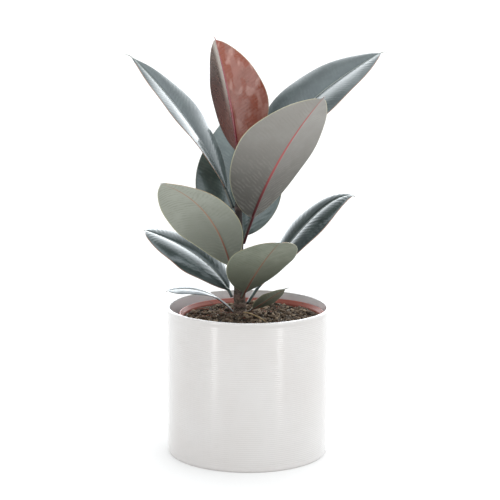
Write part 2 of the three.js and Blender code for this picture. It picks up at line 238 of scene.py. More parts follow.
def mesh_piece(name, points, faces, node, materials, picks=None, values=None):
    """Makes a smooth piece of the root body from points in millimetres. node is the CAD node that it
    replaces, if any, picks gives each face's material, and values holds one number per point for each named
    attribute."""
    mesh = bpy.data.meshes.new(name)
    mesh.from_pydata((np.asarray(points) * MM).tolist(), [], [list(map(int, f)) for f in faces])
    mesh.validate()
    for material in materials:
        mesh.materials.append(material)
    mesh.polygons.foreach_set("use_smooth", [True] * len(mesh.polygons))
    if picks is not None:
        mesh.polygons.foreach_set("material_index", [int(p) for p in picks])
    for key, numbers in (values or {}).items():
        attribute = mesh.attributes.new(key, "FLOAT", "POINT")
        attribute.data.foreach_set("value", np.asarray(numbers, np.float32).ravel())
    mesh.update()
    piece = add_object(name, mesh)
    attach(piece, "root")
    if node:
        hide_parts(node)
    return piece


def tube_faces(rings, sides):
    """Quads between rings that have as many points each."""
    faces = []
    for ring in range(rings - 1):
        for i in range(sides):
            here, beside = ring * sides + i, ring * sides + (i + 1) % sides
            faces.append((here, beside, beside + sides, here + sides))
    return faces


def end_fans(rings, sides):
    """Triangles that close a tube's two ends, round the two middle points that follow its rings."""
    count = rings * sides
    last = count - sides
    faces = []
    for i in range(sides):
        beside = (i + 1) % sides
        faces.append((count, beside, i))
        faces.append((count + 1, last + i, last + beside))
    return faces


def closed_tube(rings):
    """Points and faces of a closed body skinned over rings of shape (count, sides, 3)."""
    rings = np.asarray(rings)
    count, sides = rings.shape[:2]
    ends = np.array([rings[0].mean(0), rings[-1].mean(0)])
    points = np.concatenate([rings.reshape(-1, 3), ends])
    return points, tube_faces(count, sides) + end_fans(count, sides)


def lathe(profile, segments, x=0.0):
    """Points and faces of a closed [radius, z] outline turned about a vertical axis at x."""
    profile = np.asarray(profile, float)
    angle = np.arange(segments) * 2 * pi / segments
    points, faces, rows = [], [], []
    for radius, z in profile:
        start = len(points)
        if radius < 1e-6:
            points.append((x, 0.0, z))
            rows.append([start] * segments)
        else:
            points += [(x + radius * cos(a), radius * sin(a), z) for a in angle]
            rows.append(list(range(start, start + segments)))
    for low, high in zip(rows, rows[1:]):
        for i in range(segments):
            j = (i + 1) % segments
            corners = [low[i], low[j], high[j], high[i]]
            face = [c for k, c in enumerate(corners) if c != corners[k - 1]]
            if len(face) > 2:
                faces.append(face)
    return np.array(points), faces


def arc(r, z, radius, start, end, steps):
    """Points of a circular arc in a profile, from one angle to another in degrees."""
    angles = np.radians(np.linspace(start, end, steps + 1))
    return [(r + radius * cos(a), z + radius * sin(a)) for a in angles]


# ---- shader helpers


class Nodes:
    """A node tree, with short calls for the nodes that this script uses."""

    def __init__(self, tree):
        self.tree = tree

    def node(self, kind, feeds=(), **settings):
        made = self.tree.nodes.new(kind)
        for key, value in settings.items():
            setattr(made, key, value)
        for socket, value in dict(feeds).items():
            self.feed(made.inputs[socket], value)
        return made

    def feed(self, socket, value):
        if isinstance(value, bpy.types.NodeSocket):
            self.tree.links.new(value, socket)
        elif isinstance(value, (tuple, list)) and len(value) == 3 and socket.type == "RGBA":
            socket.default_value = (*value, 1.0)
        else:
            socket.default_value = value

    def math(self, operation, a, b=0.0):
        return self.node("ShaderNodeMath", {0: a, 1: b}, operation=operation).outputs[0]

    def times(self, a, b):
        return self.math("MULTIPLY", a, b)

    def plus(self, a, b):
        return self.math("ADD", a, b)

    def size(self, a):
        return self.math("ABSOLUTE", a)

    def mix(self, factor, a, b):
        return self.node("ShaderNodeMix", {0: factor, 6: a, 7: b}, data_type="RGBA").outputs[2]

    def value(self, name):
        """One of the numbers that a piece's points carry."""
        return self.node("ShaderNodeAttribute", attribute_name=name).outputs["Fac"]

    def span(self, value, low, high, to_low=0.0, to_high=1.0):
        """value mapped smoothly from the span low..high."""
        feeds = enumerate((value, low, high, to_low, to_high))
        return self.node("ShaderNodeMapRange", feeds, interpolation_type="SMOOTHSTEP").outputs[0]


class Shader(Nodes):
    """A material with its principled surface, and the paint that its surface gets."""

    def __init__(self, name, **settings):
        self.material = bpy.data.materials.new(name)
        self.material.use_nodes = True
        super().__init__(self.material.node_tree)
        self.surface = self.tree.nodes["Principled BSDF"]
        for socket, value in settings.items():
            self.surface.inputs[socket.replace("_", " ")].default_value = value

    def place(self):
        """Position on the object at rest, in millimetres."""
        coordinates = self.node("ShaderNodeTexCoord").outputs["Object"]
        feeds = {0: coordinates, "Scale": 1 / MM}
        return self.node("ShaderNodeVectorMath", feeds, operation="SCALE").outputs[0]

    def noise(self, size, detail=3.0, roughness=0.55, vector=None):
        """Noise from 0 to 1 whose features are size millimetres across."""
        feeds = {"Vector": vector or self.place(), "Scale": 1 / size, "Detail": detail,
                 "Roughness": roughness}
        return self.node("ShaderNodeTexNoise", feeds).outputs["Fac"]

    def prime(self, factor, a, b):
        """Paints the surface with a mix of two colours."""
        self.paint = self.mix(factor, a, b)

    def cover(self, factor, colour):
        """Paints a colour over it, as strongly as factor says."""
        self.paint = self.mix(factor, self.paint, colour)

    def finish(self, roughness, height=None, depth=0.0):
        """Gives the surface its paint, a roughness and a bump of that depth in millimetres."""
        self.feed(self.surface.inputs["Base Color"], self.paint)
        self.feed(self.surface.inputs["Roughness"], roughness)
        if height is not None:
            bump = self.node("ShaderNodeBump", {"Distance": depth * MM, "Height": height})
            self.feed(self.surface.inputs["Normal"], bump.outputs[0])
        return self.material


# ---- leaf materials

# colours by look: of the skin and its cloudy flecks, the lateral veins, the midrib and the margin, and of the
# underside's painted shade, which darkens it towards its base. A look that isn't in a table has the dark
# leaf's colours there.
LEAF_TOP = dict(
    dark=dict(base=(0.012, 0.020, 0.018), fleck=(0.026, 0.038, 0.034), vein=(0.034, 0.047, 0.042),
              rib=(0.20, 0.21, 0.17), margin=(0.26, 0.12, 0.06)),
    # this look's pale bluish colours are partly a painted reflection, the sheen on the small leaf's top
    frosted=dict(base=(0.26, 0.29, 0.31), fleck=(0.34, 0.37, 0.39), vein=(0.40, 0.43, 0.44),
                 rib=(0.45, 0.46, 0.44), margin=(0.05, 0.06, 0.06)),
    # this look is lighter than the dark one, partly a painted reflection on the back leaf's top
    teal=dict(base=(0.034, 0.048, 0.041), fleck=(0.060, 0.078, 0.067), vein=(0.085, 0.105, 0.090),
              rib=(0.22, 0.24, 0.18), margin=(0.22, 0.20, 0.13)),
    young=dict(base=(0.050, 0.030, 0.018), fleck=(0.085, 0.040, 0.022), vein=(0.11, 0.045, 0.028),
               rib=(0.34, 0.20, 0.14), margin=(0.34, 0.17, 0.10)),
)
LEAF_UNDER = dict(
    dark=dict(base=(0.22, 0.225, 0.185), fleck=(0.28, 0.25, 0.21), vein=(0.17, 0.175, 0.14),
              shade=(0.12, 0.12, 0.10), rib_foot=(0.10, 0.016, 0.014), rib=(0.34, 0.09, 0.05),
              rib_width=0.9, margin=(0.40, 0.34, 0.24)),
    grey=dict(base=(0.275, 0.262, 0.240), fleck=(0.310, 0.300, 0.276), vein=(0.245, 0.232, 0.210),
              shade=(0.070, 0.064, 0.054), rib_foot=(0.09, 0.012, 0.014), rib=(0.40, 0.085, 0.085),
              rib_width=1.1, margin=(0.46, 0.44, 0.30)),
    sage=dict(base=(0.320, 0.335, 0.285), fleck=(0.355, 0.370, 0.320), vein=(0.220, 0.238, 0.190),
              shade=(0.090, 0.100, 0.072), rib_foot=(0.16, 0.055, 0.035), rib=(0.36, 0.19, 0.12),
              rib_width=0.8, margin=(0.42, 0.40, 0.24)),
    olive=dict(base=(0.190, 0.210, 0.165), fleck=(0.225, 0.245, 0.195), vein=(0.120, 0.134, 0.094),
               shade=(0.055, 0.063, 0.042), rib_foot=(0.14, 0.045, 0.032), rib=(0.22, 0.12, 0.08),
               rib_width=0.55, margin=(0.24, 0.25, 0.16)),
    young=dict(base=(0.40, 0.150, 0.112), fleck=(0.27, 0.088, 0.055), vein=(0.40, 0.175, 0.130),
               shade=(0.27, 0.092, 0.068), rib_foot=(0.16, 0.008, 0.014), rib=(0.30, 0.035, 0.045),
               rib_width=1.2, margin=(0.46, 0.30, 0.20)),
)


def vein_pattern(shader):
    """1 on the lateral veins, from the two distances that each leaf point carries."""
    along = shader.value("along_mm")
    across = shader.size(shader.value("across_mm"))
    wobble = shader.times(shader.noise(9.0, 2.0), 1.6)
    lean = shader.times(across, BLADE["vein_lean"])
    phase = shader.math("DIVIDE", shader.math("SUBTRACT", along, lean), BLADE["vein_pitch"])
    turns = shader.times(shader.plus(phase, wobble), 2 * pi)
    wave = shader.math("COSINE", turns)
    strength = shader.span(shader.noise(7.0, 3.0), 0.35, 0.65)
    return shader.times(shader.span(wave, -0.6, 1.0), strength)


def leaf_top_material(look):
    """Waxy, glossy upper side with a pale midrib and lateral veins."""
    tones = LEAF_TOP.get(look, LEAF_TOP["dark"])
    shader = Shader("leaf_top_" + look, Coat_Weight=0.7, Coat_Roughness=0.13,
                    Specular_Tint=(0.78, 0.94, 1.0, 1.0))
    veins = vein_pattern(shader)
    across = shader.size(shader.value("across_mm"))
    shader.prime(shader.span(shader.noise(14.0, 2.0), 0.38, 0.68), tones["base"], tones["fleck"])
    shader.cover(shader.times(veins, 0.45), tones["vein"])
    shader.cover(shader.span(across, 0.7, 0.2), tones["rib"])
    shader.cover(shader.span(shader.value("edge_mm"), 0.75, 0.35), tones["margin"])
    gloss = shader.span(shader.noise(12.0, 2.0), 0.3, 0.7, 0.29, 0.37)
    dents = shader.times(shader.noise(6.0, 1.0), 2.0)
    return shader.finish(gloss, shader.plus(veins, dents), 0.06)


def leaf_under_material(look):
    """Satin underside with painted shade that darkens it towards its base, and a coloured midrib that thins
    to the tip. The young leaf's is glossy."""
    tones = LEAF_UNDER.get(look, LEAF_UNDER["dark"])
    young = look == "young"
    shine = dict(Coat_Weight=0.8, Coat_Roughness=0.10) if young else dict(Coat_Weight=0.0)
    shader = Shader("leaf_under_" + look, **shine)
    veins = vein_pattern(shader)
    signed = shader.value("across_mm")
    place = shader.value("place")
    shader.prime(shader.span(shader.noise(16.0, 3.0), 0.35, 0.75), tones["base"], tones["fleck"])
    if young:
        young_colour_and_painted_light(shader, signed, place)
    # painted shade: the underside darkens towards the leaf's base, where the leaves above shade it
    shader.cover(shader.span(place, 0.85, 0.0, 0.0, 0.75), tones["shade"])
    shader.cover(shader.times(veins, 0.25 if young else 0.6), tones["vein"])
    rib_width = shader.span(place, 0.05, 0.95, tones["rib_width"], 0.30)
    rib = shader.span(shader.math("SUBTRACT", shader.size(signed), rib_width), 0.25, -0.15)
    rib = shader.times(rib, shader.span(place, 1.0, 0.8, 0.35, 1.0))
    shader.cover(rib, shader.mix(shader.span(place, 0.0, 0.5), tones["rib_foot"], tones["rib"]))
    shader.cover(shader.span(shader.value("edge_mm"), 0.8, 0.35), tones["margin"])
    low, high = (0.24, 0.36) if young else (0.46, 0.60)
    gloss = shader.span(shader.noise(11.0, 3.0), 0.3, 0.8, low, high)
    dents = shader.times(shader.noise(8.0, 1.0), 4.0 if young else 1.0)
    return shader.finish(gloss, shader.plus(veins, dents), 0.07 if young else 0.03)


def young_colour_and_painted_light(shader, signed, place):
    """The young leaf's uneven colouring: coppery clouds and pale pink streaks on its left half, the streaks
    partly its own colour and partly a painted reflection, and a right half in painted shade, brown and
    darkening towards the base, with a pale strip beside the midrib."""
    feeds = {0: shader.place(), 1: (1.0, 1.0, 0.45)}
    stretched = shader.node("ShaderNodeVectorMath", feeds, operation="MULTIPLY").outputs[0]
    cloud = shader.noise(9.0, 2.0, 0.5, stretched)
    shader.cover(shader.span(cloud, 0.46, 0.55), (0.30, 0.055, 0.018))
    # the pale pink streaks are partly the leaf's own colour and partly a painted reflection of its glossy,
    # wavy surface
    streak = shader.noise(6.5, 1.0, 0.4, stretched)
    shader.cover(shader.span(streak, 0.54, 0.64, 0.0, 0.55), (0.66, 0.38, 0.32))
    # painted shade: the right half is painted dark brown, darkest towards the base
    brown = shader.mix(shader.span(place, 1.0, 0.45), (0.17, 0.115, 0.090), (0.026, 0.010, 0.006))
    strip = shader.times(shader.span(signed, -10.0, -3.0), shader.span(place, 0.15, 0.6))
    brown = shader.mix(strip, brown, (0.56, 0.50, 0.44))
    shader.cover(shader.span(signed, 0.4, -0.4), brown)


# ---- leaves


def stem_at(height):
    """Centre and radius of the stem at a height above the peat, without the swelling at its nodes."""
    heights, leans, radii = zip(*STEM["course"])
    centre = np.array([STEM["x"] + np.interp(height, heights, leans), 0.0, PEAT["level"] + height])
    return centre, float(np.interp(height, heights, radii))


def midrib_curve(leaf):
    """Bezier points from inside the stem's skin to the blade's tip, and the level sideways direction."""
    azimuth, rise = radians(leaf["azimuth"]), radians(leaf["rise"])
    out = np.array([cos(azimuth), sin(azimuth), 0.0])
    left = np.array([-sin(azimuth), cos(azimuth), 0.0])
    up = np.array([0.0, 0.0, 1.0])
    chord = out * cos(rise) + up * sin(rise)
    above = up * cos(rise) - out * sin(rise)
    centre, radius = stem_at(leaf["node"])
    start = centre + out * (radius + STEM["node_bulge"] + leaf["petiole_radius"])
    tip = centre + chord * leaf["reach"]
    control = mix(start, tip, leaf["arch_at"]) + 2 * leaf["arch"] * above + 2 * leaf["bow"] * left
    t = np.linspace(0, 1, 600)[:, None]
    points = start * (1 - t) ** 2 + 2 * control * t * (1 - t) + tip * t * t
    return points, left


def half_width(leaf, place):
    """Half the blade's width at a place from 0 at its base to 1 at its tip."""
    skew = log(0.5) / log(leaf["widest"])
    blunt = np.where(place < leaf["widest"], leaf["base"], leaf["point"])
    swell = np.clip(np.sin(pi * place**skew), 0, 1)
    return leaf["width"] / 2 * swell**blunt


def across_places():
    """Places across one half, from the midrib at 0 to the edge at 1, closer together at both ends."""
    t = np.linspace(0, 1, BLADE["across"] + 1)
    return (1 - t) * t**1.6 + t * (1 - (1 - t) ** 2)


def leaf_stations(leaf, length):
    """Distances along the midrib at which the leaf has a ring of points."""
    stalk = leaf["petiole"]
    petiole = np.linspace(0, stalk, max(6, int(stalk / 1.5)), endpoint=False)
    count = int((length - stalk) / BLADE["station"])
    blade = stalk + (length - stalk) * (np.arange(count) + 0.5) / count
    ends = stalk + (length - stalk) * np.array([0.0, 0.002, 0.005, 0.995, 0.998, 1.0])
    return np.sort(np.concatenate([petiole, blade, ends]))


def leaf_spine(leaf):
    """The leaf's rings from its stalk to the end of its drip tip: their centres, sideways directions and
    normals, distances along the midrib, places on the blade from 0 to 1, and places on the drip tip."""
    line, left = midrib_curve(leaf)
    steps = np.concatenate([[0], np.cumsum(np.linalg.norm(np.diff(line, axis=0), axis=1))])
    length = steps[-1]
    along = leaf_stations(leaf, length)
    centre = read_off(line, steps, along)
    ahead = unit(read_off(unit(np.gradient(line, axis=0)), steps, along))
    place = np.clip((along - leaf["petiole"]) / (length - leaf["petiole"]), 0, 1)

    level = unit(left - ahead * (ahead @ left)[:, None])
    square = np.cross(ahead, level)
    roll = np.radians(leaf["roll"] + leaf["twist"] * place)[:, None]
    side = level * np.cos(roll) + square * np.sin(roll)
    normal = square * np.cos(roll) - level * np.sin(roll)

    # the drip tip runs on from the blade and turns down
    count = BLADE["drip_rings"]
    dripping = (np.arange(count) + 1) / count
    turn = np.radians(leaf["curl"] * (dripping - 0.5 / count))[:, None]
    forward = ahead[-1] * np.cos(turn) - normal[-1] * np.sin(turn)
    drip = centre[-1] + np.cumsum(forward, 0) * (leaf["drip"] / count)

    def run_on(rows):
        return np.concatenate([rows, np.repeat(rows[-1:], count, 0)])

    along = np.concatenate([along, length + dripping * leaf["drip"]])
    dripping = np.concatenate([np.zeros(len(ahead)), dripping])
    return np.concatenate([centre, drip]), run_on(side), run_on(normal), along, run_on(place), dripping


def half_section(leaf, reach, flat):
    """The curve of half a blade from its midrib to its edge, for a half 1 wide: how far out and how high it
    has come, and its slope there. Where the leaf isn't flat it is level."""
    fold = radians(leaf["fold"])
    lift = radians(leaf["margin"] - leaf["fold"])
    lift = lift if abs(lift) > 1e-4 else 1e-4
    fold, lift = fold * flat, lift * np.maximum(flat, 1e-3)
    slope = fold + lift * reach
    out = (np.sin(slope) - np.sin(fold)) / lift
    rise = (np.cos(fold) - np.cos(slope)) / lift
    return out, rise, slope


def rib_relief(leaf, blade_mm, x_mm, half_sign):
    """Height of the lateral ribs that stand out between the veins, fading towards the midrib."""
    drift = 0.35 * np.sin(blade_mm * 0.21 + leaf["node"]) + 0.25 * np.sin(blade_mm * 0.083 + half_sign)
    phase = (blade_mm - BLADE["rib_lean"] * np.abs(x_mm)) / BLADE["rib_pitch"] + drift
    strength = 0.6 + 0.4 * np.sin(blade_mm * 0.13 + 2.1 * leaf["node"])
    ribs = np.cos(2 * pi * phase) * strength * BLADE["rib_relief"] * leaf["ribbing"]
    return ribs * smoothstep(np.abs(x_mm), 1.0, 5.0)


def leaf_piece(leaf, materials):
    """A leaf with its stalk: two skins from edge to edge, with ribs, a keel and a groove."""
    centre, side, normal, along, place, dripping = leaf_spine(leaf)
    taper = 1 - BLADE["drip_taper"] * dripping
    round_radius = mix(leaf["petiole_radius"], BLADE["drip_radius"], place) * taper
    wide = np.where(dripping > 0, 0, half_width(leaf, place))
    half = np.hypot(wide, round_radius)[:, None]
    flat = smoothstep(wide, 0, 4 * leaf["petiole_radius"])[:, None]
    place = place[:, None]

    # q runs across a ring from 1 at the left edge to -1 at the right edge
    q_half = across_places()
    q_flat = np.concatenate([q_half[::-1], -q_half[1:]])
    q_round = np.cos(np.linspace(0, pi, len(q_flat)))
    q = mix(q_round[None, :], q_flat[None, :], flat)
    reach, half_sign = np.abs(q), np.sign(q)
    out, rise, slope = half_section(leaf, reach, flat)

    x_mm = q * half
    edge_mm = half - np.abs(x_mm)
    blade_mm = (along - leaf["petiole"])[:, None] + 0 * q
    ribs = rib_relief(leaf, blade_mm, x_mm, half_sign) * smoothstep(edge_mm, 1.0, 4.0) * flat
    turns = 2 * pi * (place * 2.6 + 0.31 * leaf["node"] + 0.35 * half_sign)
    wave = leaf["wave"] * np.sin(turns) * reach**3 * np.sin(pi * place) * flat

    middle = centre[:, None] + side[:, None] * (half_sign * out * half)[..., None]
    middle = middle + normal[:, None] * (rise * half + wave)[..., None]
    local = normal[:, None] * np.cos(slope)[..., None]
    local = local - side[:, None] * (half_sign * np.sin(slope))[..., None]

    bulge = np.sqrt(np.clip(1 - q * q, 0, 1))
    inward = np.clip(edge_mm / BLADE["margin_round"], 0, 1)
    rounding = np.sqrt(np.clip(1 - (1 - inward) ** 2, 0, 1))
    sheet = mix(BLADE["margin_thickness"], BLADE["thickness"], bulge) / 2 * rounding
    body = mix(round_radius[:, None] * bulge, sheet, flat)
    keel = BLADE["keel"] * (np.exp(-((x_mm / BLADE["keel_width"]) ** 2)) * flat * (1 - place))
    groove = BLADE["groove"] * np.exp(-((x_mm / BLADE["groove_width"]) ** 2)) * flat
    upper = middle + local * (body - groove + ribs)[..., None]
    lower = middle - local * (body + keel - 0.1 * ribs)[..., None]

    # the two skins share their edge points
    def both_skins(top, bottom):
        return np.concatenate([top, bottom[:, -2:0:-1]], axis=1)

    def per_point(rows):
        return np.concatenate([both_skins(rows, rows).ravel(), [rows[0].mean(), rows[-1].mean()]])

    rings = both_skins(upper, lower)
    points, faces = closed_tube(rings)
    across, sides = upper.shape[1] - 1, rings.shape[1]
    picks = [0 if (i % sides) < across else 1 for i in range((len(rings) - 1) * sides)]
    picks += [1] * (len(faces) - len(picks))
    values = {
        "along_mm": per_point(blade_mm),
        "across_mm": per_point(x_mm),
        "edge_mm": per_point(np.where(flat > 0.5, edge_mm, 9.0)),
        "place": per_point(place + 0 * q),
    }
    return mesh_piece(leaf["name"] + "_blade", points, faces, leaf["name"], materials,
                      picks, values)


# ---- stem and bud


def stem_material():
    """Smooth purple-brown skin above, woody grey-brown bark at the foot, pinkish rings at the nodes."""
    shader = Shader("stem_bark")
    height = shader.value("height_mm")
    ring = shader.value("node_ring")
    rough_bark = shader.noise(1.6, 5.0, 0.65)
    bark = shader.mix(shader.span(rough_bark, 0.42, 0.62), (0.022, 0.015, 0.010), (0.150, 0.118, 0.086))
    pale = shader.noise(3.4, 4.0, 0.7)
    bark = shader.mix(shader.span(pale, 0.56, 0.68, 0.0, 0.7), bark, (0.24, 0.20, 0.155))
    shader.prime(shader.noise(5.0, 3.0), (0.018, 0.010, 0.010), (0.045, 0.024, 0.020))
    shader.cover(shader.span(shader.plus(height, shader.times(rough_bark, 22.0)), 52.0, 22.0), bark)
    shader.cover(shader.times(ring, 0.45), (0.20, 0.12, 0.095))
    return shader.finish(shader.span(height, 10.0, 60.0, 0.85, 0.42), rough_bark, 0.9)


def node_swelling(heights):
    """Swelling of the stem where each leaf grows from it."""
    nodes = np.array([leaf["node"] for leaf in LEAVES])
    away = (heights[:, None] - nodes[None, :]) / STEM["node_spread"]
    return STEM["node_bulge"] * np.exp(-away * away).max(1)


def stem_piece():
    """The stem, with lumpy bark at its foot and a ring at each node."""
    top = STEM["course"][-1][0]
    heights = np.concatenate([[-STEM["rooted"], -6.0, -1.0], np.arange(0, top + 0.1, STEM["ring_step"])])
    sides = STEM["sides"]
    x, y = unit_circle(sides)
    rings, rows = [], []
    for height, bulge in zip(heights, node_swelling(heights)):
        centre, radius = stem_at(max(height, 0.0))
        centre[2] = PEAT["level"] + height
        lumps = exp(-max(height, 0.0) / STEM["bark_reach"])
        rough = []
        for a, b in zip(x, y):
            coarse = noise.noise(Vector((a * 1.6, b * 1.6, height * 0.22 + SEED)))
            fine = noise.noise(Vector((a * 4.5, b * 4.5, height * 0.75 + SEED)))
            rough.append(STEM["bark_coarse"] * coarse * lumps
                         + (STEM["skin_fine"] + STEM["bark_fine"] * lumps) * fine)
        across = radius + bulge + np.array(rough)
        rings.append(level_ring(centre[0] + x * across, centre[1] + y * across, centre[2]))
        rows.append((height, bulge / STEM["node_bulge"]))
    points, faces = closed_tube(rings)
    table = np.repeat(np.array(rows), sides, axis=0)
    table = np.concatenate([table, [rows[0], rows[-1]]])
    values = {"height_mm": table[:, 0], "node_ring": np.clip(table[:, 1], 0, 1) ** 3}
    return mesh_piece("stem_skin", points, faces, "stem", [stem_material()], None, values)


def bud_material():
    """Red, faintly striped sheath."""
    shader = Shader("bud_sheath", Coat_Weight=0.3, Coat_Roughness=0.2)
    stripe = shader.noise(1.2, 4.0, 0.6)
    shader.prime(stripe, (0.16, 0.018, 0.016), (0.36, 0.075, 0.050))
    return shader.finish(shader.span(stripe, 0.3, 0.7, 0.30, 0.45), stripe, 0.08)


def bud_piece():
    """The pointed sheath on the stem's tip, wound once round like the leaf that it holds."""
    centre, _ = stem_at(STEM["course"][-1][0])
    angle = np.arange(BUD["sides"]) * 2 * pi / BUD["sides"]
    rings = []
    for t in np.linspace(0, 1, 30):
        radius = BUD["radius"] * (0.75 + 0.9 * t) * (1 - t**1.6) ** 0.8 + 0.05
        seam = 1 - 0.14 * np.exp(-(((angle - 2.4 * t - 1.0) / 0.35) ** 2))
        rings.append(level_ring(centre[0] + radius * seam * np.cos(angle),
                                centre[1] + radius * seam * np.sin(angle),
                                centre[2] + 0.2 + t * BUD["length"]))
    points, faces = closed_tube(rings)
    return mesh_piece("bud_sheath", points, faces, "terminal_bud", [bud_material()])


# ---- planter


def planter_material(name, shade, tint):
    """Satin plastic under a thin gloss, faintly cloudy between two shades, with a fine moulded texture."""
    shader = Shader(name, Coat_Weight=1.0, Coat_Roughness=0.14)
    shader.prime(shader.span(shader.noise(45.0, 3.0), 0.3, 0.7), shade, tint)
    dust = shader.span(shader.noise(3.5, 5.0, 0.7), 0.62, 0.78, 0.0, 0.10)
    shader.cover(dust, (0.60, 0.56, 0.50))
    gloss = shader.span(shader.noise(18.0, 4.0), 0.3, 0.7, 0.36, 0.42)
    return shader.finish(gloss, shader.noise(0.6, 3.0), 0.02)


def planter_piece():
    """The white cylinder: a ribbed body between a plain foot and a slightly proud, rounded lip. Its inside is
    painted much lighter than its outside, as painted light."""
    p = PLANTER
    body = p["radius"] - p["body_inset"]
    foot = body - p["taper"]
    inner = p["radius"] - p["wall"]
    rim_round = p["wall"] / 2 - 0.1
    profile = [(0, 0), (foot - p["foot_round"] - 6, 0)]
    profile += arc(foot - p["foot_round"], p["foot_round"], p["foot_round"], -90, 0, 6)
    low, high = p["foot_round"] + 2.0, p["height"] - p["lip_depth"] - 2.0
    count = int((high - low) / p["rib_pitch"])
    for z in np.linspace(low, high, count * 4 + 1):
        rib = p["rib_depth"] * 0.5 * (1 - cos(2 * pi * (z - low) / (high - low) * count))
        profile.append((mix(foot, body, (z - low) / (high - low)) - rib, z))
    profile += [(body + 0.1, high + 1.0), (p["radius"] - 0.15, p["height"] - p["lip_depth"])]
    profile += arc(p["radius"] - rim_round, p["height"] - rim_round, rim_round, 0, 90, 6)
    profile += arc(inner + rim_round, p["height"] - rim_round, rim_round, 90, 180, 6)
    outside = len(profile) - 1
    profile += [(inner, p["height"] - p["lip_depth"] - z) for z in (0, 10, 30, 60, 90)]
    profile += [(foot - p["wall"], p["floor"] + 4), (foot - p["wall"] - 1.2, p["floor"] + 1.2)]
    profile += [(foot - p["wall"] - 4, p["floor"]), (30, p["floor"]), (0, p["floor"])]
    points, faces = lathe(profile, p["segments"])
    outer = planter_material("planter_satin", (0.580, 0.551, 0.531), (0.600, 0.577, 0.560))
    # painted light: the inside gets a much lighter copy of the same white, to stand for the light falling
    # into the planter
    painted_light_inside = planter_material("planter_inside", (0.90, 0.90, 0.90), (0.92, 0.92, 0.92))
    picks = [int(i >= outside * p["segments"]) for i in range(len(faces))]
    return mesh_piece("planter_shell", points, faces, "planter", [outer, painted_light_inside], picks)


# ---- nursery pot


def pot_material():
    """Terracotta-red moulded plastic with scuffs and a little dried peat on its rim."""
    shader = Shader("nursery_pot_plastic")
    cloud = shader.noise(20.0, 3.0)
    shader.prime(cloud, (0.27, 0.060, 0.036), (0.36, 0.090, 0.058))
    scuff = shader.span(shader.noise(2.2, 6.0, 0.7), 0.55, 0.75)
    shader.cover(shader.times(scuff, 0.5), (0.42, 0.19, 0.14))
    dirt = shader.span(shader.noise(5.0, 5.0, 0.65), 0.58, 0.72)
    shader.cover(shader.times(dirt, 0.55), (0.06, 0.035, 0.022))
    return shader.finish(shader.span(cloud, 0.3, 0.7, 0.28, 0.45), shader.noise(1.5, 4.0), 0.06)


def pot_piece():
    """The tapered nursery pot with its turned-out rim band and drainage holes in the floor."""
    p = POT
    wall_radius, base = p["wall_radius"], p["base_radius"]
    band = p["rim"] - p["band"]
    inner_floor = p["foot"] + p["floor"]

    def lean(z):
        return mix(base, wall_radius, (z - p["foot"]) / (band - p["foot"]))

    profile = [(base - 1.5, p["foot"])]
    profile += arc(base - 1.0, p["foot"] + 1.0, 1.0, -90, 0, 4)
    profile += [(lean(z), z) for z in np.linspace(p["foot"] + 4, band - 0.6, 12)]
    profile += [(wall_radius + 0.3, band), (p["radius"] - 0.4, band)]
    profile += [(p["radius"], band + 0.5), (p["radius"], band + 3)]
    profile += arc(p["radius"] - 0.6, p["rim"] - 0.6, 0.6, 0, 90, 4)
    profile += arc(p["radius"] - p["wall"] + 0.5, p["rim"] - 0.5, 0.5, 90, 180, 4)
    profile += [(wall_radius - p["wall"] + 0.4, p["rim"] - p["overhang"])]
    profile += [(wall_radius - p["wall"], p["rim"] - p["overhang"] - 1), (wall_radius - p["wall"], band)]
    profile += [(lean(z) - p["wall"], z) for z in np.linspace(band - 4, inner_floor + 1, 12)]
    profile += [(base - p["wall"] - 1, inner_floor)]
    points, faces = lathe(profile, p["segments"], p["x"])
    floor_points, floor_faces = pot_floor(base - 1.5, base - p["wall"] - 1, inner_floor, len(points))
    points = np.concatenate([points, floor_points])
    return mesh_piece("nursery_pot_shell", points, faces + floor_faces, "nursery_pot",
                      [pot_material()])


def pot_floor(low_radius, high_radius, inner_floor, first):
    """The pot's floor between its two skins: a plate with a ring of drainage holes through it."""
    p = POT
    sectors, steps = p["hole_count"], p["segments"] // p["hole_count"]
    sweep = pi / sectors
    points, faces, lower_holes = [], [], []

    def add(x, y, z):
        points.append((p["x"] + x, y, z))
        return first + len(points) - 1

    for z, radius, flip in ((p["foot"], low_radius, False), (inner_floor, high_radius, True)):
        for sector in range(sectors):
            middle = 2 * sector * sweep
            hole_x, hole_y = p["hole_ring"] * cos(middle), p["hole_ring"] * sin(middle)
            outline, hole = [], []
            for a in np.linspace(middle - sweep, middle + sweep, steps + 1):
                outline.append((radius * cos(a), radius * sin(a)))
            outline += [(outline[-1][0] * 0.5, outline[-1][1] * 0.5), (0, 0)]
            outline.append((outline[0][0] * 0.5, outline[0][1] * 0.5))
            for x, y in outline:
                a = atan2(y - hole_y, x - hole_x)
                hole.append((hole_x + p["hole_radius"] * cos(a),
                             hole_y + p["hole_radius"] * sin(a)))
            outer_ids = [add(x, y, z) for x, y in outline]
            inner_ids = [add(x, y, z) for x, y in hole]
            if flip:
                walls = list(zip(lower_holes[sector], inner_ids))
                for (a, b), (c, d) in zip(walls, walls[1:] + walls[:1]):
                    faces.append((a, c, d, b))
            else:
                lower_holes.append(inner_ids)
            for i in range(len(outline)):
                j = (i + 1) % len(outline)
                quad = (outer_ids[i], outer_ids[j], inner_ids[j], inner_ids[i])
                faces.append(quad if flip else quad[::-1])
    return np.array(points), faces


# ---- peat


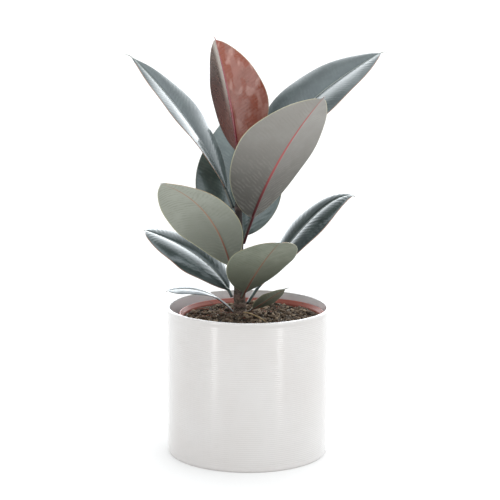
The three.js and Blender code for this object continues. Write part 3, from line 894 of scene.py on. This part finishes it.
def peat_height(x, y):
    """Height of the peat's surface: a low mound round the stem, on gentle ripples and lumps."""
    away = hypot(x - STEM["x"], y) / PEAT["mound_spread"]
    waves = sin(x * 0.19 + 1) * cos(y * 0.23) + sin(x * 0.11 - y * 0.13)
    lumps = noise.fractal(Vector((x * 0.17, y * 0.17, SEED)), 1.0, 2.0, 4)
    return (PEAT["level"] + PEAT["mound"] * exp(-away * away) + PEAT["ripple"] * waves
            + PEAT["lumps"] * lumps)


def peat_material():
    """Dark moist peat with paler dried grains."""
    shader = Shader("peat", Specular_IOR_Level=0.25)
    grain = shader.noise(1.8, 6.0, 0.7)
    shader.prime(shader.span(grain, 0.32, 0.66), (0.026, 0.019, 0.014), (0.150, 0.118, 0.088))
    pale = shader.span(shader.noise(1.1, 4.0, 0.7), 0.60, 0.74)
    shader.cover(shader.times(pale, 0.7), (0.24, 0.20, 0.155))
    return shader.finish(shader.span(grain, 0.3, 0.7, 0.80, 0.98), grain, 0.8)


def root_ball_piece(material):
    """The peat that fills the pot: a lumpy surface on a tapered, closed ball."""
    p = POT
    low = p["foot"] + p["floor"] + TOUCH_GAP
    low_radius = p["base_radius"] - p["wall"]
    x, y = unit_circle(PEAT["sides"])
    rings = []
    for t in (0.0, 0.35, 0.7, 1.0):
        radius = mix(low_radius, PEAT["radius"], t)
        z = mix(low, p["rim"] - p["band"], t)
        rings.append(level_ring(p["x"] + x * radius, y * radius, z))
    for radius in PEAT["radius"] * np.linspace(1, 0.015, 52) ** 0.85:
        xs, ys = p["x"] + x * radius, y * radius
        zs = [min(peat_height(a, b), PEAT["highest"]) for a, b in zip(xs, ys)]
        rings.append(np.stack([xs, ys, zs], -1))
    points, faces = closed_tube(rings)
    return mesh_piece("peat_body", points, faces, "root_ball", [material])


def icosphere():
    """Points and faces of a once-divided icosahedron of radius 1."""
    gold = (1 + 5**0.5) / 2
    points = [(-1, gold, 0), (1, gold, 0), (-1, -gold, 0), (1, -gold, 0), (0, -1, gold), (0, 1, gold),
              (0, -1, -gold), (0, 1, -gold), (gold, 0, -1), (gold, 0, 1), (-gold, 0, -1), (-gold, 0, 1)]
    faces = [(0, 11, 5), (0, 5, 1), (0, 1, 7), (0, 7, 10), (0, 10, 11), (1, 5, 9), (5, 11, 4),
             (11, 10, 2), (10, 7, 6), (7, 1, 8), (3, 9, 4), (3, 4, 2), (3, 2, 6), (3, 6, 8), (3, 8, 9),
             (4, 9, 5), (2, 4, 11), (6, 2, 10), (8, 6, 7), (9, 8, 1)]
    points, halves, divided = [np.array(p, float) for p in points], {}, []

    def halfway(a, b):
        key = (min(a, b), max(a, b))
        if key not in halves:
            points.append((points[a] + points[b]) / 2)
            halves[key] = len(points) - 1
        return halves[key]

    for a, b, c in faces:
        ab, bc, ca = halfway(a, b), halfway(b, c), halfway(c, a)
        divided += [(a, ab, ca), (b, bc, ab), (c, ca, bc), (ab, bc, ca)]
    return unit(np.array(points)), divided


def random_turns(random, count):
    """Rotation matrices, as an array of shape (count, 3, 3), from random quaternions."""
    w, x, y, z = unit(random.normal(size=(count, 4))).T
    return np.array([
        [1 - 2 * (y * y + z * z), 2 * (x * y - w * z), 2 * (x * z + w * y)],
        [2 * (x * y + w * z), 1 - 2 * (x * x + z * z), 2 * (y * z - w * x)],
        [2 * (x * z - w * y), 2 * (y * z + w * x), 1 - 2 * (x * x + y * y)],
    ]).transpose(2, 0, 1)


def spread_on_peat(random, count, margin, clear_stem=5.5):
    """Random places on the peat, clear of the pot's wall and of the stem."""
    places = []
    while len(places) < count:
        radius = (PEAT["radius"] - margin) * sqrt(random.random())
        angle = random.random() * 2 * pi
        x, y = POT["x"] + radius * cos(angle), radius * sin(angle)
        if hypot(x - STEM["x"], y) > clear_stem:
            places.append((x, y, min(peat_height(x, y), PEAT["highest"])))
    return np.array(places)


def crumbs_piece(name, count, sizes, material, seed):
    """Irregular crumbs half sunk in the peat, all in one piece."""
    random = np.random.default_rng(seed)
    ball, ball_faces = icosphere()
    size = np.exp(random.uniform(log(sizes[0]), log(sizes[1]), count))
    places = spread_on_peat(random, count, sizes[1])
    stretch = random.uniform(0.6, 1.3, (count, 1, 3)) * size[:, None, None] / 2
    knobs = 1 + random.uniform(-CRUMB["knobs"], CRUMB["knobs"], (count, len(ball), 1))
    shapes = np.einsum("nij,nkj->nki", random_turns(random, count), ball[None] * stretch * knobs)
    shapes[:, :, 2] *= CRUMB["flat"]
    places[:, 2] += size * CRUMB["sink"]
    points = shapes + places[:, None, :]
    offsets = np.arange(count)[:, None, None] * len(ball)
    faces = (np.array(ball_faces)[None] + offsets).reshape(-1, 3)
    shade = np.repeat(random.random(count), len(ball))
    return mesh_piece(name, points.reshape(-1, 3), faces, None, [material], None,
                      {"shade": shade})


def crumb_material(name, dark, mid, pale):
    """Each crumb has its own shade between dark and pale."""
    shader = Shader(name, Specular_IOR_Level=0.2)
    shade = shader.value("shade")
    grain = shader.noise(0.9, 4.0, 0.7)
    shader.prime(shader.span(shade, 0.0, 0.6), dark, mid)
    shader.cover(shader.span(shade, 0.62, 0.98), pale)
    shader.cover(shader.span(grain, 0.45, 0.75, 0.0, 0.5), dark)
    return shader.finish(shader.span(grain, 0.3, 0.7, 0.78, 0.96), grain, 0.3)


def strand(points, radius):
    """Points and faces of a thin tapered strand through some points, in millimetres."""
    points = np.asarray(points, float)
    t = np.linspace(0, len(points) - 1, 4 * (len(points) - 1) + 1)
    smooth = read_off(points, np.arange(len(points)), t)
    kernel = np.array([1, 2, 3, 2, 1]) / 9
    padded = np.pad(smooth, ((2, 2), (0, 0)), mode="edge")
    smooth = np.stack([np.convolve(padded[:, k], kernel, mode="valid") for k in range(3)], -1)
    ahead = unit(np.gradient(smooth, axis=0))
    side = unit(np.cross(ahead, np.array([0.03, 0.07, 1.0])))
    square = np.cross(side, ahead)
    taper = radius * (1 - 0.6 * np.abs(np.linspace(-1, 1, len(smooth))) ** 3)
    x, y = unit_circle(STRAND_SIDES)
    spokes = side[:, None] * x[None, :, None] + square[:, None] * y[None, :, None]
    return closed_tube(smooth[:, None] + spokes * taper[:, None, None])


def fibre_material(name, dark, pale):
    """Dry root or straw, streaked between two shades."""
    shader = Shader(name, Specular_IOR_Level=0.3)
    streak = shader.noise(1.4, 4.0, 0.6)
    shader.prime(shader.span(streak, 0.3, 0.7), dark, pale)
    return shader.finish(shader.span(streak, 0.3, 0.7, 0.55, 0.80), streak, 0.1)


def strands_piece(name, lines, material):
    """Several strands in one piece. Each line is (points, radius)."""
    points, faces = [], []
    for line, radius in lines:
        line_points, line_faces = strand(line, radius)
        start = sum(len(p) for p in points)
        faces += [tuple(start + i for i in face) for face in line_faces]
        points.append(line_points)
    return mesh_piece(name, np.concatenate(points), faces, None, [material])


def scattered_strands(count, seed, lengths, radii):
    """Short wiggling strands lying on the peat."""
    random = np.random.default_rng(seed)
    starts = spread_on_peat(random, count, 8.0, clear_stem=7.0)
    lines = []
    for x, y, _ in starts:
        heading = random.random() * 2 * pi
        length = random.uniform(*lengths)
        line = []
        for step in range(6):
            lift = 0.5 + 1.0 * sin(pi * step / 5) * random.random()
            if hypot(x - POT["x"], y) < PEAT["radius"] - 1:
                line.append((x, y, peat_height(x, y) + lift))
            heading += random.normal() * 0.45
            x, y = x + cos(heading) * length / 5, y + sin(heading) * length / 5
        if len(line) > 2:
            lines.append((line, random.uniform(*radii)))
    return lines


def on_peat(rows):
    """Listed strand points: each row is x, y and height above the peat."""
    return [(x, y, peat_height(x, y) + lift) for x, y, lift in rows]


def peat_pieces():
    """The root ball and what lies on it, with one long straw and one long root given point by point."""
    root_ball_piece(peat_material())
    brown = crumb_material("crumb_brown", (0.028, 0.020, 0.014), (0.110, 0.076, 0.050), (0.28, 0.21, 0.145))
    grey = crumb_material("crumb_grey", (0.085, 0.072, 0.058), (0.27, 0.235, 0.195), (0.55, 0.50, 0.43))
    crumbs_piece("peat_crumbs", 1500, (1.0, 4.2), brown, 21)
    crumbs_piece("peat_grains", 1100, (0.6, 2.0), grey, 22)
    rust = fibre_material("fibre_rust", (0.12, 0.030, 0.016), (0.30, 0.095, 0.045))
    tan = fibre_material("fibre_tan", (0.30, 0.20, 0.10), (0.55, 0.40, 0.22))
    long_fibre = on_peat([(-5, -6, 3.0), (0, -9, 3.8), (5, -13, 3.4), (10, -18, 2.4), (16, -23, 1.2)])
    root = on_peat([(-48, 20, 1.6), (-44, 24, 2.6), (-39, 22, 2.8), (-34, 18, 2.0), (-29, 15, 1.2)])
    strands_piece("peat_fibres", [(root, 0.55)] + scattered_strands(90, 23, (5, 18), (0.14, 0.36)), rust)
    strands_piece("peat_straws", [(long_fibre, 0.60)] + scattered_strands(16, 24, (4, 10), (0.15, 0.3)), tan)


# ---- room


FLOOR_SIZE = 60.0

# The dome's radiance all round, and its brighter areas: each adds power at its middle and fades out where the
# cosine of the angle to its middle falls from full to edge. They are the back wall, the right and the left
# side, the key light overhead and a smaller light high on the right.
DOME = 0.26
DOME_AREAS = [
    dict(aim=(0, 1, 0), edge=0.25, full=1.0, power=4.2),
    dict(aim=(1, 0, 0), edge=0.25, full=1.0, power=0.26),
    dict(aim=(-1, 0, 0), edge=0.25, full=1.0, power=0.40),
    dict(aim=(0.12, -0.25, 0.95), edge=0.58, full=0.96, power=2.5),
    dict(aim=(0.74, 0.12, 0.66), edge=0.84, full=0.99, power=1.05),
]

# Low strip lights that show as two soft upright highlights on the planter.
STRIP_SIZE = (0.05, 0.24)
STRIP_POWER = 0.16
STRIPS = dict(
    strip_left=((-0.25, -0.27, 0.13), (-0.04, -0.06, 0.07)),
    strip_right=((0.25, -0.28, 0.13), (0.04, -0.06, 0.07)),
)


def floor_material():
    """Pale paper that glows slightly, so that it shows as white as the surround."""
    shader = Shader("floor_paper", Specular_IOR_Level=0.1, Emission_Color=(1.0, 1.0, 1.0, 1.0),
                    Emission_Strength=0.28)
    cloud = shader.noise(400.0, 2.0)
    shader.prime(cloud, (0.47, 0.46, 0.45), (0.48, 0.47, 0.46))
    return shader.finish(shader.span(cloud, 0.3, 0.7, 0.85, 0.95))


def make_floor():
    far = FLOOR_SIZE / 2
    mesh = bpy.data.meshes.new("floor")
    mesh.from_pydata([(-far, -far, 0), (far, -far, 0), (far, far, 0), (-far, far, 0)], [], [(0, 1, 2, 3)])
    mesh.materials.append(floor_material())
    add_object("floor", mesh)


def make_strip(name, place, aim):
    """A soft rectangular light at a place, turned towards its aim and hidden from the camera."""
    light = bpy.data.lights.new(name, "AREA")
    light.shape = "RECTANGLE"
    light.size, light.size_y = STRIP_SIZE
    light.energy = STRIP_POWER
    lamp = add_object(name, light)
    lamp.location = place
    lamp.rotation_euler = (Vector(aim) - Vector(place)).to_track_quat("-Z", "Y").to_euler()
    lamp.visible_camera = False


def make_dome():
    """A soft white surround, dim in front of the plant and brighter where DOME_AREAS says."""
    world = bpy.data.worlds.new("studio")
    world.use_nodes = True
    nodes = Nodes(world.node_tree)
    direction = nodes.node("ShaderNodeTexCoord").outputs["Generated"]
    total = DOME
    for area in DOME_AREAS:
        feeds = {0: direction, 1: Vector(area["aim"]).normalized()}
        cosine = nodes.node("ShaderNodeVectorMath", feeds, operation="DOT_PRODUCT").outputs["Value"]
        glow = nodes.span(cosine, area["edge"], area["full"], 0.0, area["power"])
        total = nodes.plus(glow, total)
    backdrop = world.node_tree.nodes["Background"]
    backdrop.inputs["Color"].default_value = (0.93, 0.97, 1.0, 1.0)
    nodes.feed(backdrop.inputs["Strength"], total)
    bpy.context.scene.world = world


def make_light():
    make_dome()
    for name, (place, aim) in STRIPS.items():
        make_strip(name, place, aim)


# distances in metres, angles in degrees and the lens in millimetres
CAMERA = dict(x=0.0014, distance=1.3, height=0.408, pitch=10.15, roll=0.37, lens=111.8)


def make_camera():
    """The camera stands in front of the plant and looks slightly down on it."""
    data = bpy.data.cameras.new("camera")
    data.lens = CAMERA["lens"]
    data.sensor_width = 36.0
    data.clip_start, data.clip_end = 0.05, 100.0
    camera = add_object("camera", data)
    pitch = Matrix.Rotation(radians(90 - CAMERA["pitch"]), 4, "X")
    roll = Matrix.Rotation(radians(CAMERA["roll"]), 4, "Z")
    camera.matrix_world = Matrix.Translation(
        (CAMERA["x"], -CAMERA["distance"], CAMERA["height"])) @ pitch @ roll
    bpy.context.scene.camera = camera


# ---- the whole


def main():
    make_camera()
    make_light()
    make_floor()
    planter_piece()
    pot_piece()
    peat_pieces()
    stem_piece()
    bud_piece()
    looks = sorted({leaf["look"] for leaf in LEAVES})
    skins = {look: [leaf_top_material(look), leaf_under_material(look)] for look in looks}
    for leaf in LEAVES:
        leaf_piece(leaf, skins[leaf["look"]])
    bpy.context.scene.view_settings.view_transform = "Standard"


main()
